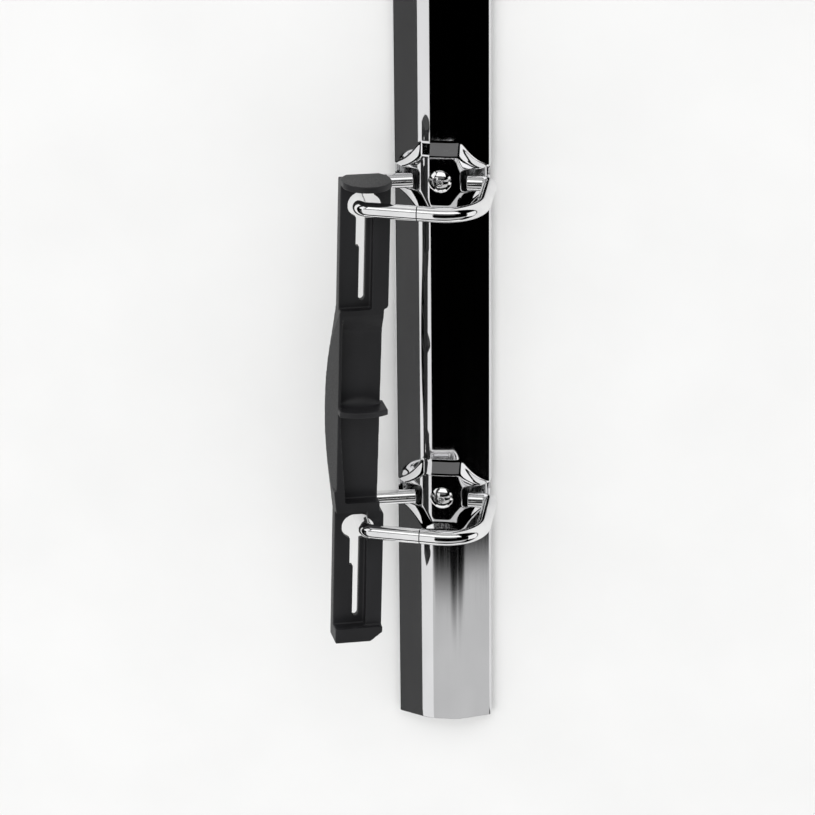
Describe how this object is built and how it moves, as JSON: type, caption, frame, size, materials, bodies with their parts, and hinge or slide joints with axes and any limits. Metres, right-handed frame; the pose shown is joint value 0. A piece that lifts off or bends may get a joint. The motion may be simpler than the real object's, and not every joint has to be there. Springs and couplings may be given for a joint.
{
  "type": "ring binder mechanism",
  "caption": "Arched chromed cover plate with D-shaped split wire rings that open sideways, and a black compressor bar that slides down the ring legs onto the paper.",
  "frame": {"origin": "on the base plane, midway between the two rivet holes", "axes": "+Y along the cover plate, +Z out of the base towards the rings, +X towards the rings' straight posts"},
  "size_m": [0.0394, 0.2, 0.0322],
  "materials": {
    "chromed_plate": "bright, faint drawing lines along the length",
    "chromed_wire": "bright drawn wire",
    "rivet_plate": "bright, dimpled head",
    "bright_steel": "plain zinc-plated strip",
    "black_moulding": "matte moulded, fine grain"
  },
  "bodies": {
    "base": {"cover_plate": "chromed_plate", "rivet_upper": "rivet_plate", "rivet_lower": "rivet_plate", "spacer_upper": "bright_steel", "spacer_lower": "bright_steel", "washer_upper": "bright_steel", "washer_lower": "bright_steel"},
    "left_rings": {"leaf_left": "bright_steel", "ring_left_upper": "chromed_wire", "ring_left_lower": "chromed_wire"},
    "right_rings": {"leaf_right": "bright_steel", "ring_right_upper": "chromed_wire", "ring_right_lower": "chromed_wire"},
    "bar": {"compressor_bar": "black_moulding"}
  },
  "joints": [
    {"name": "left_rings_open", "type": "hinge", "parent": "base", "child": "left_rings", "pos_m": [-0.0099, 0, 0.0013], "axis": [0, 1, 0], "range_deg": [-13, 0]},
    {"name": "right_rings_open", "type": "hinge", "parent": "base", "child": "right_rings", "pos_m": [0.0099, 0, 0.0013], "axis": [0, 1, 0], "range_deg": [0, 13]},
    {"name": "bar_slide", "type": "slide", "parent": "left_rings", "child": "bar", "axis": [-0.2672, 0, -0.9636], "range_m": [0, 0.008]}
  ],
  "couplings": [
    {"joint": "right_rings_open", "follows": "left_rings_open", "ratio": -1}
  ]
}
